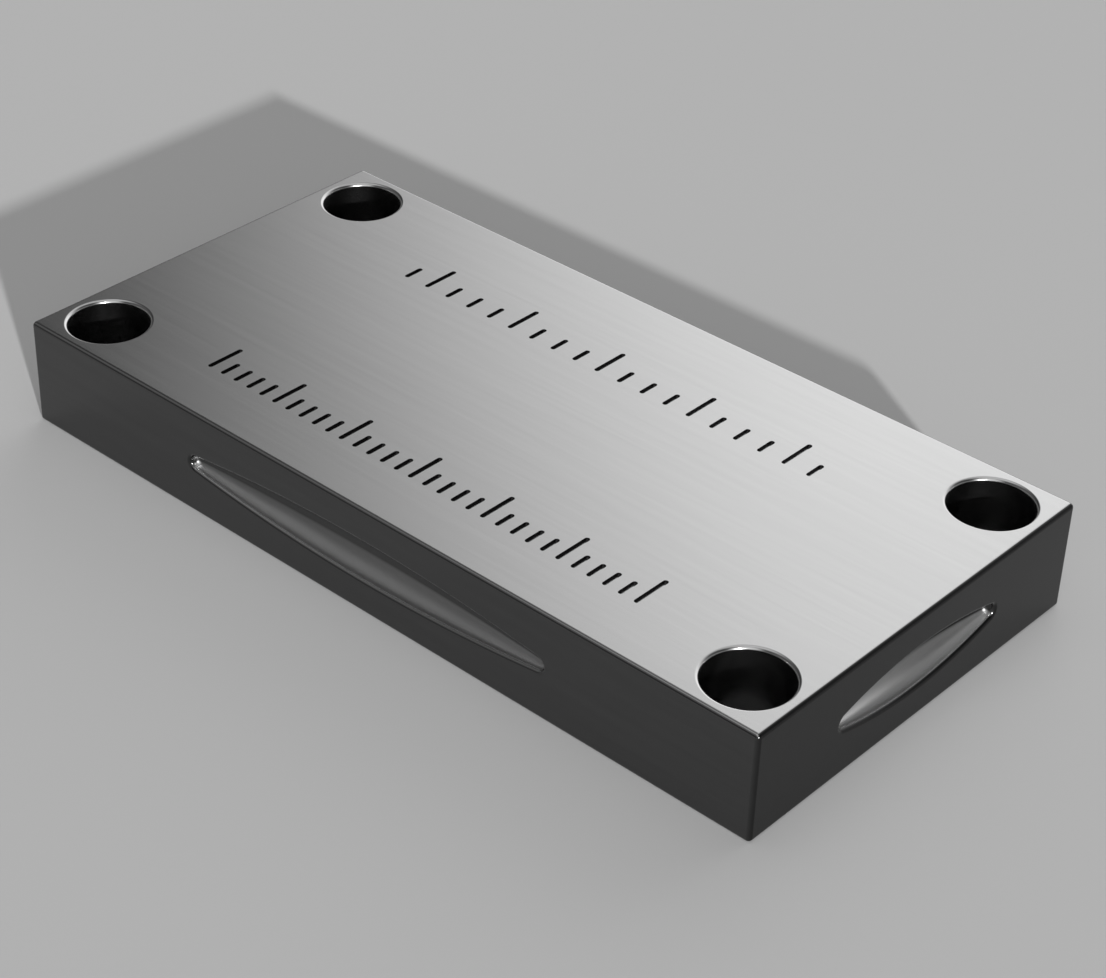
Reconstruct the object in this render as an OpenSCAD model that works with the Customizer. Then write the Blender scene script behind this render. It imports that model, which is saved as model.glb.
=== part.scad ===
// Riser block: a flat rectangular block with a clearance hole in each corner and a boat-shaped
// finger recess in each side. Two engraved rows of graduations run along the top.
// The block lies flat. X runs along its length, Y across it and Z up, and the origin is the
// middle of the underside.

/* [Block] */
// Length of the block
block_l = 101.6; // [84:0.1:160]
// Width of the block
block_w = 50.8; // [46:0.1:90]
// Thickness of the block, which is the height it adds under a foot
block_h = 12.7; // [10:0.1:30]
// Radius that rounds every outer edge and corner
edge_r = 0.5; // [0.2:0.1:1]

/* [Corner holes] */
// Diameter of the four through holes, a clearance fit for an M8 screw
hole_d = 9; // [4:0.1:10]
// Radius that rounds both rims of each hole
hole_rim_r = 0.4; // [0.1:0.1:0.8]
// Flat left between the rounded rim of a hole and the rounded edge of the block
hole_land = 0.6; // [0.4:0.1:1]

/* [Finger recesses] */
// Length of the recess in each long side, inside its rounded lip
long_recess_l = 50.2; // [20:0.1:56]
// Length of the recess in each short side, inside its rounded lip
short_recess_l = 25; // [12:0.1:26]
// Height of every recess at its middle, inside its rounded lip
recess_h = 4.8; // [3:0.1:6]
// Radius of the two tips of every recess
tip_r = 0.8; // [0.4:0.1:1.2]
// Radius that rounds the lip of every recess
lip_r = 0.5; // [0.2:0.1:0.8]

/* [Graduations] */
// Depth of the engraved strokes
stroke_depth = 0.3; // [0.1:0.1:0.8]
// Width of each stroke
stroke_w = 0.6; // [0.3:0.1:0.8]
// Length of a common stroke
stroke_l = 2.6; // [1.5:0.1:3.5]
// Length of a main stroke
main_stroke_l = 4.8; // [3.6:0.1:6]
// Distance from the front side to the front row, whose strokes stand 2 mm apart
front_row_gap = 7.4; // [6:0.1:9]
// Distance from the back side to the back row, whose strokes stand an eighth of an inch apart
back_row_gap = 10.2; // [8:0.1:12]
// Clear length kept between the rim of a corner hole and the end of a row
row_end_gap = 9; // [4:0.5:16]

/* [Hidden] */
$fn = 64;
// Facets round the whole circle of a long arc, of which a recess shows only a short run
long_arc_fn = 720;
// How far a cut that leaves the block runs past it
proud = 1;
// How far the cut for a lip runs into the hollow of its recess
overlap = 0.1;
// Share of a tip's radius to which the long arcs come near its centre
tip_fit = 0.985;
// Radius of the roll of a lip
roll_r = 1.05 * lip_r;
// Step from stroke to stroke in each row, and how many steps apart the main strokes stand
metric_step = 2;
metric_main = 5;
inch_step = 25.4 / 8;
inch_main = 4;
// Radius at which the rounded rim of a hole meets the face of the block
rim_reach = hole_d / 2 + hole_rim_r;
// Centres of the corner holes, from the middle of the block
hole_inset = edge_r + hole_land + rim_reach;
hole_x = block_l / 2 - hole_inset;
hole_y = block_w / 2 - hole_inset;
// Half the length that a row may take up
row_half_l = hole_x - rim_reach - row_end_gap;

// The cut that rounds one edge, l long about the origin, of a box that lies in the corner below
// x = r and y = r
module edge_cut(l, r) {
    linear_extrude(l, center = true)
        difference() {
            square(r + proud);
            circle(r);
        }
}

// The cut that rounds one corner, of a box that lies below x = r, y = r and z = r
module corner_cut(r) {
    difference() {
        cube(r + proud);
        sphere(r);
    }
}

// A box with every edge and corner rounded, standing on z = 0
module rounded_box(size, r) {
    core = size - 2 * r * [1, 1, 1];
    translate([0, 0, size.z / 2])
        difference() {
            cube(size, center = true);
            for (i = [0, 1], j = [0, 1]) {
                mirror([i, 0, 0])
                    mirror([0, j, 0])
                        translate([core.x / 2, core.y / 2, 0])
                            edge_cut(core.z, r);
                mirror([i, 0, 0])
                    mirror([0, 0, j])
                        translate([core.x / 2, 0, core.z / 2])
                            rotate([90, 0, 0])
                                edge_cut(core.y, r);
                mirror([0, i, 0])
                    mirror([0, 0, j])
                        translate([0, core.y / 2, core.z / 2])
                            rotate([0, -90, 0])
                                edge_cut(core.x, r);
                for (k = [0, 1])
                    mirror([i, 0, 0])
                        mirror([0, j, 0])
                            mirror([0, 0, k])
                                translate(core / 2)
                                    corner_cut(r);
            }
        }
}

// The cut that rounds one rim of a hole, with the face of the block at z = 0
module rim_cut() {
    rotate_extrude()
        difference() {
            translate([0, -hole_rim_r])
                square([rim_reach, hole_rim_r + proud]);
            translate([rim_reach, -hole_rim_r])
                circle(hole_rim_r);
        }
}

// The cut for one corner hole, a plain bore with both rims rounded
module hole_cut() {
    translate([0, 0, -proud])
        cylinder(h = block_h + 2 * proud, d = hole_d);
    translate([0, 0, block_h])
        rim_cut();
    rotate([180, 0, 0])
        rim_cut();
}

// Radius of the long arcs of an oval with half-axes a and b. They stop just inside the circles of
// the two tips, which cross them at a slight angle.
function long_r(a, b) =
    (pow(a - tip_r, 2) + pow(b, 2) - pow(tip_fit * tip_r, 2)) / (2 * (b - tip_fit * tip_r));

// Half the angle that a long arc turns through from tip to tip
function long_turn(a, b) = asin((a - tip_r) / (long_r(a, b) - tip_fit * tip_r));

// An oval with half-axes a and b, in which two long arcs run into two round tips
module oval(a, b) {
    r = long_r(a, b);
    intersection() {
        square([2 * r * sin(long_turn(a, b)), 4 * b], center = true);
        translate([0, b - r])
            circle(r, $fn = long_arc_fn);
        translate([0, r - b])
            circle(r, $fn = long_arc_fn);
    }
    for (side = [-1, 1])
        translate([side * (a - tip_r), 0])
            circle(tip_r);
}

// Half the section of the cut for a lip at radius r about the y axis, from radius inner outwards.
// The roll is slightly larger than its reach, so that it meets the wall of the recess at a blunt
// angle.
module lip_section(inner, r) {
    difference() {
        translate([inner, -lip_r])
            square([r + lip_r - inner, lip_r + proud / 2]);
        translate([r + lip_r, -roll_r])
            circle(roll_r, $fn = 64);
    }
}

// The cut that rolls a side of the block, at z = 0, in over the outline of an oval
module lip_cut(a, b) {
    r = long_r(a, b);
    turn = long_turn(a, b);
    for (half = [0, 180])
        rotate([0, 0, half]) {
            translate([0, b - r, 0])
                rotate([0, 0, 90 - turn])
                    rotate_extrude(angle = 2 * turn, $fn = long_arc_fn)
                        lip_section(r - overlap, r);
            translate([a - tip_r, 0, 0])
                rotate_extrude()
                    lip_section(0, tip_r);
        }
}

// The hollow of a recess inside its lip, from z = 0 down and for the wall of the lip upwards. The
// bowl is half of the body that an oval makes when it turns about its length.
module hollow_cut(a, b) {
    linear_extrude(proud + lip_r)
        oval(a, b);
    rotate([0, 90, 0])
        rotate([0, 0, -90])
            rotate_extrude(angle = 180)
                intersection() {
                    rotate(90)
                        oval(a, b);
                    translate([0, -2 * a])
                        square([2 * b, 4 * a]);
                }
}

// The cut for one finger recess of length l, with the side of the block at z = 0
module recess_cut(l) {
    lip_cut(l / 2, recess_h / 2);
    translate([0, 0, -lip_r])
        hollow_cut(l / 2, recess_h / 2);
}

// Places a cut at half height on one side of the block, for turn 0 the front and for 90 an end
module on_side(turn, distance) {
    rotate([0, 0, turn])
        translate([0, -distance, block_h / 2])
            rotate([90, 0, 0])
                children();
}

// The cut for one stroke with round ends, l long from its foot at y = 0
module stroke_cut(l) {
    linear_extrude(stroke_depth + proud) {
        translate([-stroke_w / 2, stroke_w / 2])
            square([stroke_w, l - stroke_w]);
        for (y = [stroke_w / 2, l - stroke_w / 2])
            translate([0, y])
                circle(d = stroke_w);
    }
}

// The cut for one row of graduations, centred on x = 0
module row_cut(step, main) {
    each_side = floor(row_half_l / step);
    for (i = [-each_side : each_side])
        translate([i * step, 0, 0])
            stroke_cut(i % main == 0 ? main_stroke_l : stroke_l);
}

module riser_block() {
    color("dimgray")
        difference() {
            rounded_box([block_l, block_w, block_h], edge_r);
            for (x = [-hole_x, hole_x], y = [-hole_y, hole_y])
                translate([x, y, 0])
                    hole_cut();
            for (turn = [0, 180]) {
                on_side(turn, block_w / 2)
                    recess_cut(long_recess_l);
                on_side(turn + 90, block_l / 2)
                    recess_cut(short_recess_l);
            }
            translate([0, 0, block_h - stroke_depth]) {
                translate([0, front_row_gap - block_w / 2, 0])
                    row_cut(metric_step, metric_main);
                translate([0, block_w / 2 - back_row_gap - main_stroke_l, 0])
                    row_cut(inch_step, inch_main);
            }
        }
}

riser_block();
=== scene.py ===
import math

import bpy
from mathutils import Matrix, Vector
from mathutils.geometry import tessellate_polygon


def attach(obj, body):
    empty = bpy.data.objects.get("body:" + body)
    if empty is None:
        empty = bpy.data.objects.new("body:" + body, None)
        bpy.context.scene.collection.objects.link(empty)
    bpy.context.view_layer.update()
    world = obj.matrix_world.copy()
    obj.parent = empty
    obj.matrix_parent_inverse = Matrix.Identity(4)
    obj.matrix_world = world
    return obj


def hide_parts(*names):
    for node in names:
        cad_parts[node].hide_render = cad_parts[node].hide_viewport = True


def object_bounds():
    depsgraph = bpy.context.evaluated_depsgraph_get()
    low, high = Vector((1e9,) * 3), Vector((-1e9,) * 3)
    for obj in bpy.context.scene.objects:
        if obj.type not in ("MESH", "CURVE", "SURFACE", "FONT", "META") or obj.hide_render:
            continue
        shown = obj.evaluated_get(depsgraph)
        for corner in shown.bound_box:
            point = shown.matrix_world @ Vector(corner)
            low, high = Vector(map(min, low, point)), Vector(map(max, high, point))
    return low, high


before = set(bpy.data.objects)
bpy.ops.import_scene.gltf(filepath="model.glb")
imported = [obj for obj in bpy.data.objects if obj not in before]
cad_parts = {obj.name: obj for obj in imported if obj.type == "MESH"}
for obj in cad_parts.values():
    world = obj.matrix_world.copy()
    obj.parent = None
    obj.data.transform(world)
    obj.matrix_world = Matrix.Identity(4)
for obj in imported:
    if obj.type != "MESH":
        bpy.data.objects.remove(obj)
cad_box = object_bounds()
scene = bpy.context.scene
MM = 0.001

# Camera, fitted to the outline of the block in the photograph. Its place is in metres.
PHOTO_W = 1106
FOCAL_PX = 2639
CAMERA_AT = Vector((0.1549, -0.1737, 0.1619))
AZIMUTH, ELEVATION, ROLL = (math.radians(a) for a in (42.14, 34.60, 1.31))
SHIFT = (0.0375, 0.0072)
SENSOR_MM = 36
# Nearest and farthest distance that the camera shows, in metres
CLIP = (0.01, 20)

# Sun, in the direction that lays the shadow where the photograph has it
SUN_FROM = Vector((42.2, -24.3, 12.7)).normalized()
SUN_STRENGTH = 4.2
SUN_ANGLE = math.radians(1.5)

# Floor, with its reach to each side in metres
FLOOR_REACH = 3
FLOOR_GREY = 0.511
FLOOR_ROUGHNESS = 0.95
FLOOR_SPECULAR = 0.1

# Studio light. Each light has a level, and spans over which it comes up from nothing to its full
# level. A span is in degrees, or in cosines of the angle to the middle of the light.
BASE_LEVEL = 0.05
# A long softbox behind the block. Bearings are to the left of straight back.
SOFTBOX_LEVEL = 1.61
SOFTBOX_LEFT = (57, 31)
SOFTBOX_RIGHT = (-46, 14)
SOFTBOX_FOOT = (-2, 12)
SOFTBOX_HEAD = (70, 26)
# A weak fill high in front on the left, which the recess of the front side mirrors
FILL_LEVEL = 0.09
FILL_FROM = Vector((-0.55, -0.45, 0.70)).normalized()
FILL_SPAN = (0.6, 0.98)
# A glow in front on the right, which the far rims of the holes mirror
KEY_LEVEL = 0.9
KEY_FROM = Vector((0.62, -0.60, 0.50)).normalized()
KEY_SPAN = (0.78, 0.96)
# The ceiling, for which the span is a height
OVERHEAD_LEVEL = 0.8
OVERHEAD_SPAN = (46, 78)
# A weak glow low on the right, which the recess of the right side mirrors
GLOW_LEVEL = 0.12
GLOW_FROM = Vector((0.77, 0.61, 0.15)).normalized()
GLOW_SPAN = (0.8, 0.98)
# The far floor and walls, which lighten the horizon all round
HORIZON_LEVEL = 0.33
HORIZON_SPAN = (20, 0)

# Sizes of the block in millimetres. The frame gives its outer sizes, to this many decimals, and
# the others are the same as in its CAD source.
SIZE_DECIMALS = 3
BLOCK_L, BLOCK_W, BLOCK_H = (
    round((high - low) / MM, SIZE_DECIMALS) for low, high in zip(*cad_box)
)
EDGE_R = 0.5
HOLE_R = 4.5
HOLE_RIM_R = 0.4
# Flat left between the rounded rim of a hole and the rounded edges of the block
HOLE_LAND = 0.6
HOLE_INSET = EDGE_R + HOLE_LAND + HOLE_RIM_R + HOLE_R
HOLE_X, HOLE_Y = BLOCK_L / 2 - HOLE_INSET, BLOCK_W / 2 - HOLE_INSET
LONG_RECESS_L, SHORT_RECESS_L = 50.2, 25
RECESS_H = 4.8
# Distance of a tip's centre from the end of its recess, and the radius at which the tip touches
# the long arcs
TIP_SET = 0.8
TIP_R = 0.788
LIP_R = 0.5
STROKE_DEPTH = 0.3
STROKE_R = 0.3
STROKE_L, MAIN_STROKE_L = 2.6, 4.8
# Distance of the two rows of strokes from the front and the back side, and from the rims of the
# holes
FRONT_ROW_GAP, BACK_ROW_GAP, ROW_END_GAP = 7.4, 10.2, 9
ROW_HALF_L = HOLE_X - HOLE_R - HOLE_RIM_R - ROW_END_GAP
# Foot of each row, its step, and its steps from main stroke to main stroke. The back row stands
# an eighth of an inch apart.
INCH = 25.4
ROWS = (
    (FRONT_ROW_GAP - BLOCK_W / 2, 2, 5),
    (BLOCK_W / 2 - BACK_ROW_GAP - MAIN_STROKE_L, INCH / 8, 4),
)

# Steps in which the skin turns through each form
EDGE_STEPS = 6
RING_STEPS = 96
RIM_STEPS = 8
ARC_STEPS = 56
TIP_STEPS = 12
LIP_STEPS = 10
BOWL_STEPS = 28
STROKE_STEPS = 10
# Decimals of a millimetre to which the corners of two faces have to agree to be one
WELD_DECIMALS = 4

# Greys of the dark steel and of its painted highlight, from one end of the grain to the other, and
# the grey of the painted highlight in the bowls where they lie level
DARK_GREYS = (0.085, 0.107)
HIGHLIGHT_GREYS = (0.47, 0.53)
BOWL_HIGHLIGHT_GREY = 0.58
# Painted shade: how much darker the dark steel is on the ends
END_SHADE = 0.65
# How level a face lies, from 0 on a side to 1 on the top. In each span a painted highlight comes up
# from nothing to its full share: on the level faces, in the bowls, on the rims and along the edges.
LEVEL_HIGHLIGHT_SPAN = (0.93, 0.995)
BOWL_HIGHLIGHT_SPAN = (0.4, 1.0)
RIM_HIGHLIGHT_SPAN = (0.05, 0.4)
EDGE_HIGHLIGHT_SPAN = (0.55, 0.8)
# Product of how level a rounding lies and how far it faces the front or the back
LONG_EDGE_HIGHLIGHT_SPAN = (0.3, 0.45)
# Spans of the painted highlight of a bowl in millimetres: from a side inwards, which is negative,
# upwards and downwards from the underside, and on the upper lip upwards from the middle of the
# block
BOWL_DEPTH_SPAN = (-0.25, -0.5)
BOWL_FOOT_SPAN = (2.2, 3.0)
BOWL_HEAD_SPAN = (10.6, 9.8)
UPPER_LIP_SPAN = (0.3, 0.8)
# Steepens the painted highlight of the bowls. The mix of the dark steel and its painted highlight
# stops at 1.
BOWL_HIGHLIGHT_SHARE = 1.5
# Share of the painted highlight in a bore, from its darkest height in millimetres up to the top,
# where less of it lower down is painted shade, and the margin over which it ends outside the rim
BORE_DARK_Z = 4
BORE_HIGHLIGHT_SHARES = (0.1, 1.3)
HOLE_MARGIN = 0.3
# Fine grain along the block, and soft clouds
GRAIN_SCALE, GRAIN_DETAIL = 900, 4
GRAIN_STRETCH = (0.06, 1.6, 1.0)
CLOUD_SCALE, CLOUD_DETAIL = 45, 2
NOISE_ROUGHNESS = 0.55
# Roughness of the steel, and what the grain, the clouds and the bowls add to it
ROUGHNESS = 0.13
GRAIN_ROUGHER = 0.05
CLOUD_ROUGHER = 0.04
BOWL_ROUGHER = 0.16
# Strength of the grain's bump, and its height in millimetres
BUMP_STRENGTH = 0.06
BUMP_HEIGHT = 0.02


def add_camera():
    forward = Vector(
        (
            -math.sin(AZIMUTH) * math.cos(ELEVATION),
            math.cos(AZIMUTH) * math.cos(ELEVATION),
            -math.sin(ELEVATION),
        )
    )
    level = Vector((math.cos(AZIMUTH), math.sin(AZIMUTH), 0))
    upright = level.cross(forward)
    right = math.cos(ROLL) * level + math.sin(ROLL) * upright
    up = right.cross(forward)
    data = bpy.data.cameras.new("camera")
    data.sensor_width = SENSOR_MM
    data.lens = FOCAL_PX / PHOTO_W * SENSOR_MM
    data.shift_x, data.shift_y = SHIFT
    data.clip_start, data.clip_end = CLIP
    camera = bpy.data.objects.new("camera", data)
    turn = Matrix((right, up, -forward)).transposed().to_4x4()
    camera.matrix_world = Matrix.Translation(CAMERA_AT) @ turn
    scene.collection.objects.link(camera)
    scene.camera = camera


def add_sun():
    data = bpy.data.lights.new("sun", "SUN")
    data.energy = SUN_STRENGTH
    data.angle = SUN_ANGLE
    lamp = bpy.data.objects.new("sun", data)
    lamp.rotation_euler = (-SUN_FROM).to_track_quat("-Z", "Y").to_euler()
    scene.collection.objects.link(lamp)


class Nodes:
    """Adds shader nodes to a tree, each wired to what it works on."""

    def __init__(self, tree):
        self.tree = tree

    def add(self, kind, **settings):
        node = self.tree.nodes.new(kind)
        for name, value in settings.items():
            setattr(node, name, value)
        return node

    def put(self, socket, value):
        if isinstance(value, bpy.types.NodeSocket):
            self.tree.links.new(value, socket)
        else:
            socket.default_value = value

    def math(self, operation, a, b=0.0, c=0.0):
        node = self.add("ShaderNodeMath", operation=operation)
        for socket, value in zip(node.inputs, (a, b, c)):
            self.put(socket, value)
        return node.outputs[0]

    def product(self, *factors):
        result = factors[0]
        for factor in factors[1:]:
            result = self.math("MULTIPLY", result, factor)
        return result

    def ramp(self, value, span, shares=(0.0, 1.0), smooth=True):
        """Goes from the first share to the second as the value goes through the span."""
        kind = "SMOOTHSTEP" if smooth else "LINEAR"
        node = self.add("ShaderNodeMapRange", interpolation_type=kind)
        for name, number in (
            ("Value", value),
            ("From Min", span[0]),
            ("From Max", span[1]),
            ("To Min", shares[0]),
            ("To Max", shares[1]),
        ):
            self.put(node.inputs[name], number)
        return node.outputs[0]

    def split(self, vector):
        node = self.add("ShaderNodeSeparateXYZ")
        self.put(node.inputs[0], vector)
        return node.outputs

    def dot(self, a, b):
        node = self.add("ShaderNodeVectorMath", operation="DOT_PRODUCT")
        self.put(node.inputs[0], a)
        self.put(node.inputs[1], b)
        return node.outputs["Value"]

    def noise(self, vector, scale, detail, stretch=(1, 1, 1)):
        mapping = self.add("ShaderNodeMapping")
        self.put(mapping.inputs["Vector"], vector)
        mapping.inputs["Scale"].default_value = stretch
        node = self.add("ShaderNodeTexNoise")
        self.put(node.inputs["Vector"], mapping.outputs[0])
        node.inputs["Scale"].default_value = scale
        node.inputs["Detail"].default_value = detail
        node.inputs["Roughness"].default_value = NOISE_ROUGHNESS
        return node.outputs["Fac"]

    def mix(self, factor, a, b):
        # The colour sockets of this node share their names with others, so they go by number
        node = self.add("ShaderNodeMix", data_type="RGBA")
        self.put(node.inputs[0], factor)
        self.put(node.inputs[6], a)
        self.put(node.inputs[7], b)
        return node.outputs[2]


def grey(level):
    return (level, level, level, 1)


def scaled(span, offset=0.0):
    """Turns a span in millimetres, measured from an offset, into metres."""
    return tuple((offset + end) * MM for end in span)


def add_world():
    world = bpy.data.worlds.new("studio")
    world.use_nodes = True
    tree = world.node_tree
    n = Nodes(tree)
    direction = n.add("ShaderNodeTexCoord").outputs["Generated"]
    x, y, z = n.split(direction)
    # Degrees to the left of straight back, and degrees above the horizon
    bearing = n.math("DEGREES", n.math("ARCTAN2", n.math("MULTIPLY", x, -1.0), y))
    height = n.math("DEGREES", n.math("ARCSINE", z))
    softbox = n.product(
        n.ramp(bearing, SOFTBOX_LEFT),
        n.ramp(bearing, SOFTBOX_RIGHT),
        n.ramp(height, SOFTBOX_FOOT),
        n.ramp(height, SOFTBOX_HEAD, smooth=False),
    )
    level = BASE_LEVEL
    for share, full in (
        (softbox, SOFTBOX_LEVEL),
        (n.ramp(n.dot(direction, FILL_FROM), FILL_SPAN), FILL_LEVEL),
        (n.ramp(n.dot(direction, KEY_FROM), KEY_SPAN), KEY_LEVEL),
        (n.ramp(height, OVERHEAD_SPAN), OVERHEAD_LEVEL),
        (n.ramp(n.dot(direction, GLOW_FROM), GLOW_SPAN), GLOW_LEVEL),
        (n.ramp(height, HORIZON_SPAN), HORIZON_LEVEL),
    ):
        level = n.math("MULTIPLY_ADD", share, full, level)
    background = tree.nodes["Background"]
    background.inputs["Color"].default_value = (1, 1, 1, 1)
    n.put(background.inputs["Strength"], level)
    scene.world = world


def add_floor():
    mesh = bpy.data.meshes.new("floor")
    corners = [(x, y, 0) for x, y in rectangle(FLOOR_REACH, FLOOR_REACH)]
    mesh.from_pydata(corners, [], [(0, 1, 2, 3)])
    floor = bpy.data.objects.new("floor", mesh)
    scene.collection.objects.link(floor)
    material = bpy.data.materials.new("floor")
    material.use_nodes = True
    shader = material.node_tree.nodes["Principled BSDF"]
    shader.inputs["Base Color"].default_value = grey(FLOOR_GREY)
    shader.inputs["Roughness"].default_value = FLOOR_ROUGHNESS
    shader.inputs["Specular IOR Level"].default_value = FLOOR_SPECULAR
    mesh.materials.append(material)


class Skin:
    """Gathers the faces of one mesh in millimetres. A corner is a point with the normal there."""

    def __init__(self):
        self.index = {}
        self.points = []
        self.faces = []
        self.normals = []

    def vertex(self, point):
        """The number of a point, which all corners that agree with it share."""
        key = tuple(round(c, WELD_DECIMALS) + 0.0 for c in point)
        if key not in self.index:
            self.index[key] = len(self.points)
            self.points.append(point * MM)
        return self.index[key]

    def face(self, corners):
        """Adds a face, without corners that fall together, and turned the way they face."""
        ids = [self.vertex(point) for point, _ in corners]
        kept = [i for i in range(len(ids)) if ids[i] != ids[i - 1]]
        if len(kept) < 3:
            return
        spots = [corners[i][0] for i in kept]
        across = sum((a.cross(b) for a, b in zip(spots, spots[1:] + spots[:1])), Vector((0, 0, 0)))
        outward = sum((corners[i][1] for i in kept), Vector((0, 0, 0)))
        if across.dot(outward) < 0:
            kept.reverse()
        self.faces.append([ids[i] for i in kept])
        self.normals.extend(corners[i][1] for i in kept)

    def band(self, rows, closed=True):
        """Faces between each row of corners and the next, all round or from end to end."""
        for low, high in zip(rows, rows[1:]):
            for i in range(0 if closed else 1, len(low)):
                self.face([low[i - 1], low[i], high[i], high[i - 1]])

    def plate(self, place, outline, holes):
        """A flat face in the plane z = 0 of a place, with holes in it."""
        loops = [[Vector((x, y, 0)) for x, y in loop] for loop in (outline, *holes)]
        flat = [point for loop in loops for point in loop]
        for triangle in tessellate_polygon(loops):
            self.face([corner(place, flat[i], Vector((0, 0, 1))) for i in triangle])

    def mesh(self, name):
        mesh = bpy.data.meshes.new(name)
        mesh.from_pydata(self.points, [], self.faces)
        mesh.shade_smooth()
        mesh.normals_split_custom_set(self.normals)
        return mesh


def corner(place, point, normal):
    return place @ point, (place.to_3x3() @ normal).normalized()


def rolled(up, outward, roll):
    """The normal of a rounded rim, which turns from the wall of the opening to the face above."""
    return math.sin(roll) * up - math.cos(roll) * outward


def steps(start, end, count):
    return [start + (end - start) * i / count for i in range(count + 1)]


def rectangle(half_x, half_y):
    return [(half_x, half_y), (-half_x, half_y), (-half_x, -half_y), (half_x, -half_y)]


def add_outside(skin):
    """The rounded edges and corners, up to the flat faces."""
    half = Vector((BLOCK_L / 2 - EDGE_R, BLOCK_W / 2 - EDGE_R, 0))
    columns = []
    for quarter, signs in enumerate(((1, 1), (-1, 1), (-1, -1), (1, -1))):
        centre = Vector((half.x * signs[0], half.y * signs[1], 0))
        turns = steps(quarter * math.pi / 2, (quarter + 1) * math.pi / 2, EDGE_STEPS)
        columns.append((centre, turns))

    def loop(rise, z):
        """The corners all round the block, where its rounding rises at one angle."""
        reach = math.cos(rise)
        corners = []
        for centre, turns in columns:
            for turn in turns:
                normal = Vector((reach * math.cos(turn), reach * math.sin(turn), math.sin(rise)))
                corners.append((centre + EDGE_R * normal + Vector((0, 0, z)), normal))
        return corners

    below = [loop(rise, EDGE_R) for rise in steps(-math.pi / 2, 0, EDGE_STEPS)]
    above = [loop(rise, BLOCK_H - EDGE_R) for rise in steps(0, math.pi / 2, EDGE_STEPS)]
    skin.band(below)
    skin.band(above)
    # Between the two bands only the upright edges are drawn, since each flat side comes with its
    # recess
    count = EDGE_STEPS + 1
    for start in range(0, len(columns) * count, count):
        pair = [row[start : start + count] for row in (below[-1], above[0])]
        skin.band(pair, closed=False)


def ring(x, y, radius):
    turns = steps(0, 2 * math.pi, RING_STEPS)[:-1]
    return [(x + radius * math.cos(t), y + radius * math.sin(t)) for t in turns]


def add_hole(skin, x, y):
    """One through hole, with a rounded rim above and below."""
    around = [Vector((*spot, 0)) for spot in ring(0, 0, 1)]
    up = Vector((0, 0, 1))
    feet = []
    for place in (
        Matrix.Translation((x, y, BLOCK_H)),
        Matrix.Translation((x, y, 0)) @ Matrix.Rotation(math.pi, 4, "X"),
    ):
        rows = []
        for roll in steps(math.pi / 2, 0, RIM_STEPS):
            radius = HOLE_R + HOLE_RIM_R * (1 - math.cos(roll))
            z = HOLE_RIM_R * (math.sin(roll) - 1)
            rows.append([corner(place, radius * a + z * up, rolled(up, a, roll)) for a in around])
        skin.band(rows)
        feet.append(rows[-1])
    # The lower rim lies turned over, so it runs the other way round
    feet[1] = [feet[1][-i] for i in range(RING_STEPS)]
    skin.band(feet)


def upper_oval(a, b):
    """The upper half of an oval, in which long arcs run into round tips, with the normals."""
    tip = a - TIP_SET
    radius = (tip**2 + b**2 - TIP_R**2) / (2 * (b - TIP_R))
    turn = math.asin(tip / (radius - TIP_R))
    quarter = []
    for angle in steps(0, math.pi / 2 - turn, TIP_STEPS)[:-1]:
        normal = Vector((math.cos(angle), math.sin(angle), 0))
        quarter.append((Vector((tip, 0, 0)) + TIP_R * normal, normal))
    for angle in steps(turn, 0, ARC_STEPS):
        normal = Vector((math.sin(angle), math.cos(angle), 0))
        quarter.append((Vector((0, b - radius, 0)) + radius * normal, normal))
    flip = Matrix.Diagonal((-1, 1, 1))
    return quarter + [(flip @ p, flip @ n) for p, n in reversed(quarter[:-1])]


def add_side(skin, turn, distance, half_length, recess_l):
    """One side of the block, with its recess: the flat face, the rolled lip and the turned bowl."""
    place = (
        Matrix.Rotation(math.radians(turn), 4, "Z")
        @ Matrix.Translation((0, -distance, BLOCK_H / 2))
        @ Matrix.Rotation(math.pi / 2, 4, "X")
    )
    upper = upper_oval(recess_l / 2, RECESS_H / 2)
    flip = Matrix.Diagonal((1, -1, 1))
    outline = upper + [(flip @ p, flip @ n) for p, n in reversed(upper[1:-1])]
    up = Vector((0, 0, 1))
    rows = []
    for roll in steps(math.pi / 2, 0, LIP_STEPS):
        reach = LIP_R * (1 - math.cos(roll))
        z = LIP_R * (math.sin(roll) - 1)
        rows.append(
            [corner(place, p + reach * n + z * up, rolled(up, n, roll)) for p, n in outline]
        )
    skin.band(rows)
    rows = []
    for turned in steps(0, math.pi, BOWL_STEPS):
        about = Matrix.Rotation(-turned, 3, "X")
        foot = Vector((0, 0, -LIP_R))
        rows.append([corner(place, about @ p + foot, -(about @ n)) for p, n in upper])
    skin.band(rows, closed=False)
    mouth = [tuple((p + LIP_R * n).xy) for p, n in outline]
    skin.plate(place, rectangle(half_length - EDGE_R, BLOCK_H / 2 - EDGE_R), [mouth])


def stroke_marks():
    """Middle x, foot y and length of every engraved stroke."""
    for foot, step, main in ROWS:
        each_side = int(ROW_HALF_L / step)
        for i in range(-each_side, each_side + 1):
            yield i * step, foot, STROKE_L if i % main else MAIN_STROKE_L


def add_stroke(skin, x, foot, length):
    """The wall and the floor of one stroke. Returns its outline."""
    around = []
    for start, y in ((0, foot + length - STROKE_R), (math.pi, foot + STROKE_R)):
        for turn in steps(start, start + math.pi, STROKE_STEPS):
            away = Vector((math.cos(turn), math.sin(turn), 0))
            around.append((Vector((x, y, BLOCK_H)) + STROKE_R * away, away))
    sink = Vector((0, 0, -STROKE_DEPTH))
    skin.band([[(p + drop, -n) for p, n in around] for drop in (Vector((0, 0, 0)), sink)])
    skin.face([(p + sink, Vector((0, 0, 1))) for p, n in around])
    return [tuple(p.xy) for p, n in around]


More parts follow.
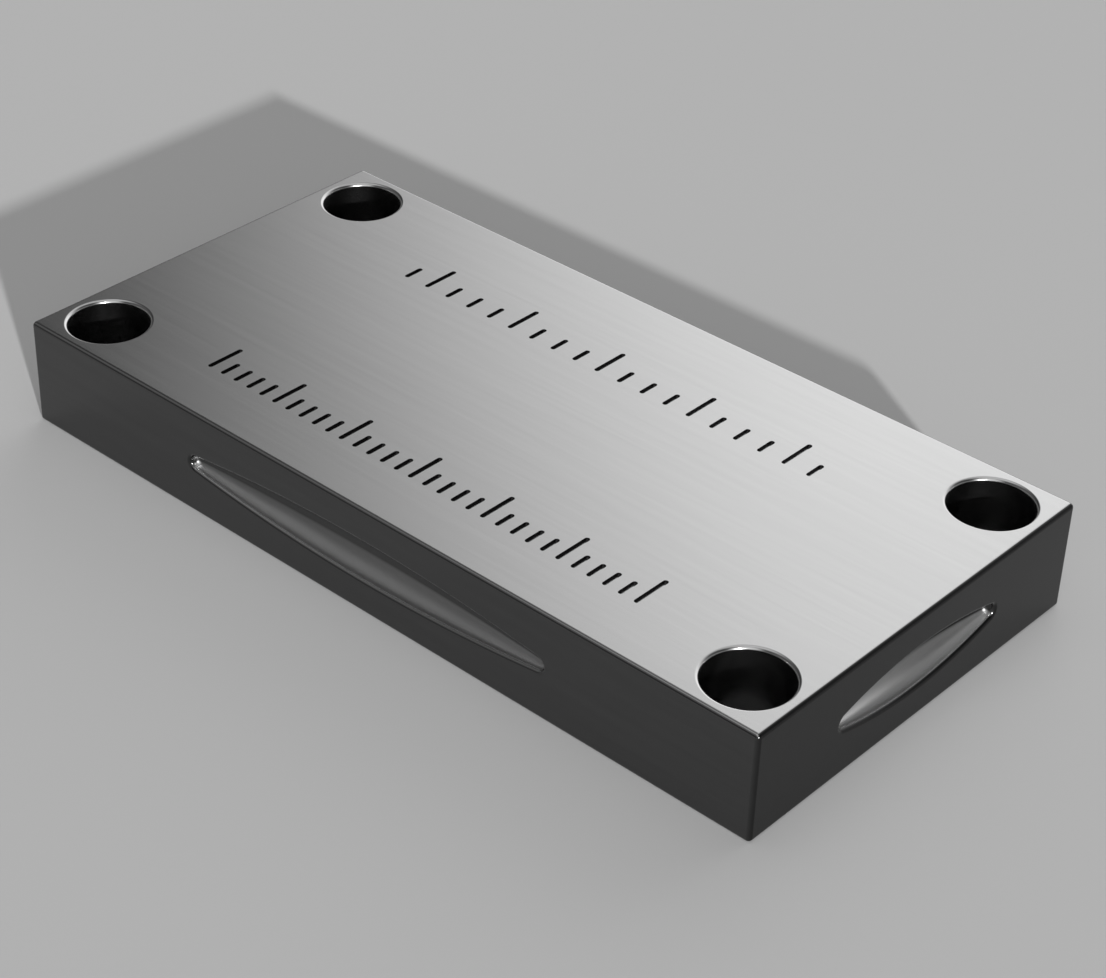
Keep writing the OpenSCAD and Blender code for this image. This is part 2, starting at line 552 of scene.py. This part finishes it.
def block_mesh():
    skin = Skin()
    add_outside(skin)
    holes = [(x, y) for x in (-HOLE_X, HOLE_X) for y in (-HOLE_Y, HOLE_Y)]
    for x, y in holes:
        add_hole(skin, x, y)
    for turn in (0, 180):
        add_side(skin, turn, BLOCK_W / 2, BLOCK_L / 2, LONG_RECESS_L)
        add_side(skin, turn + 90, BLOCK_L / 2, BLOCK_W / 2, SHORT_RECESS_L)
    rims = [ring(x, y, HOLE_R + HOLE_RIM_R) for x, y in holes]
    strokes = [add_stroke(skin, *mark) for mark in stroke_marks()]
    face = rectangle(BLOCK_L / 2 - EDGE_R, BLOCK_W / 2 - EDGE_R)
    skin.plate(Matrix.Translation((0, 0, BLOCK_H)), face, rims + strokes)
    skin.plate(Matrix.Rotation(math.pi, 4, "X"), face, rims)
    return skin.mesh("block_body")


def steel_material():
    # Dark steel with a painted highlight on its level faces, bowls, bores, rims and long edges, and
    # painted shade on its ends
    material = bpy.data.materials.new("steel_painted_light")
    material.use_nodes = True
    tree = material.node_tree
    n = Nodes(tree)
    shader = tree.nodes["Principled BSDF"]
    coord = n.add("ShaderNodeTexCoord")
    place = coord.outputs["Object"]
    px, py, pz = n.split(place)
    nx, ny, nz = n.split(coord.outputs["Normal"])
    level_share = n.math("ABSOLUTE", nz)
    from_mid_x = n.math("ABSOLUTE", px)
    from_mid_y = n.math("ABSOLUTE", py)
    # Painted highlight on the faces that lie level, above and below
    level_highlight = n.ramp(level_share, LEVEL_HIGHLIGHT_SPAN)
    # The bowl of a recess starts below its lip, and its painted highlight grows the more level it
    # lies
    deep = n.product(
        n.ramp(from_mid_y, scaled(BOWL_DEPTH_SPAN, BLOCK_W / 2)),
        n.ramp(from_mid_x, scaled(BOWL_DEPTH_SPAN, BLOCK_L / 2)),
    )
    mid_height = n.product(
        n.ramp(pz, scaled(BOWL_FOOT_SPAN)), n.ramp(pz, scaled(BOWL_HEAD_SPAN))
    )
    # The upper lip shares the painted highlight of the bowl, since the bowl mirrors it
    below_lip = n.math("MAXIMUM", deep, n.ramp(pz, scaled(UPPER_LIP_SPAN, BLOCK_H / 2)))
    bowl = n.product(n.ramp(level_share, BOWL_HIGHLIGHT_SPAN, smooth=False), mid_height, below_lip)
    # Painted highlight: the roundings along the long sides are lighter than those at the ends
    long_edge_highlight = n.product(
        n.ramp(n.product(level_share, n.math("ABSOLUTE", ny)), LONG_EDGE_HIGHLIGHT_SPAN),
        n.ramp(level_share, EDGE_HIGHLIGHT_SPAN),
    )
    # The bores carry a painted highlight with painted shade, darker the deeper they lie, and their
    # rounded rims a painted highlight
    off_x = n.math("SUBTRACT", from_mid_x, HOLE_X * MM)
    off_y = n.math("SUBTRACT", from_mid_y, HOLE_Y * MM)
    off_axis = n.math("MULTIPLY_ADD", off_x, off_x, n.product(off_y, off_y))
    off_axis = n.math("SQRT", off_axis)
    at_hole = n.ramp(off_axis, scaled((HOLE_MARGIN, 0), HOLE_R + HOLE_RIM_R))
    bore_highlight_share = n.ramp(pz, scaled((BORE_DARK_Z, BLOCK_H)), BORE_HIGHLIGHT_SHARES, smooth=False)
    bore_highlight_and_shade = n.product(at_hole, n.math("MAXIMUM", n.ramp(level_share, RIM_HIGHLIGHT_SPAN), bore_highlight_share))

    # Painted highlight on the level faces, in the bowls and bores, on the rims and along the long
    # edges
    highlight_share = n.product(bowl, BOWL_HIGHLIGHT_SHARE)
    for share in (level_highlight, bore_highlight_and_shade, long_edge_highlight):
        highlight_share = n.math("MAXIMUM", highlight_share, share)
    grain = n.noise(place, GRAIN_SCALE, GRAIN_DETAIL, GRAIN_STRETCH)
    cloud = n.noise(place, CLOUD_SCALE, CLOUD_DETAIL)
    dark_with_end_shade = n.mix(grain, *map(grey, DARK_GREYS))
    # Painted shade: the dark steel grows darker on the ends
    dark_with_end_shade = n.mix(n.product(n.math("ABSOLUTE", nx), END_SHADE), dark_with_end_shade, grey(0))
    # The painted highlight is mixed in over the dark steel
    colour = n.mix(highlight_share, dark_with_end_shade, n.mix(grain, *map(grey, HIGHLIGHT_GREYS)))
    # Painted highlight in the bowls, lightest where they lie level
    colour = n.mix(bowl, colour, grey(BOWL_HIGHLIGHT_GREY))
    n.put(shader.inputs["Base Color"], colour)
    shader.inputs["Metallic"].default_value = 1.0
    in_bowl = n.product(deep, mid_height, n.math("SUBTRACT", 1.0, at_hole))
    rough = ROUGHNESS
    for share, rougher in (
        (grain, GRAIN_ROUGHER),
        (cloud, CLOUD_ROUGHER),
        (in_bowl, BOWL_ROUGHER),
    ):
        rough = n.math("MULTIPLY_ADD", share, rougher, rough)
    n.put(shader.inputs["Roughness"], rough)
    bump = n.add("ShaderNodeBump")
    bump.inputs["Strength"].default_value = BUMP_STRENGTH
    bump.inputs["Distance"].default_value = BUMP_HEIGHT * MM
    n.put(bump.inputs["Height"], grain)
    n.put(shader.inputs["Normal"], bump.outputs[0])
    return material


add_camera()
add_sun()
add_world()
add_floor()
block = bpy.data.objects.new("block_body", block_mesh())
scene.collection.objects.link(block)
block.data.materials.append(steel_material())
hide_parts("riser_block")
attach(block, "root")

scene.view_settings.view_transform = "Standard"
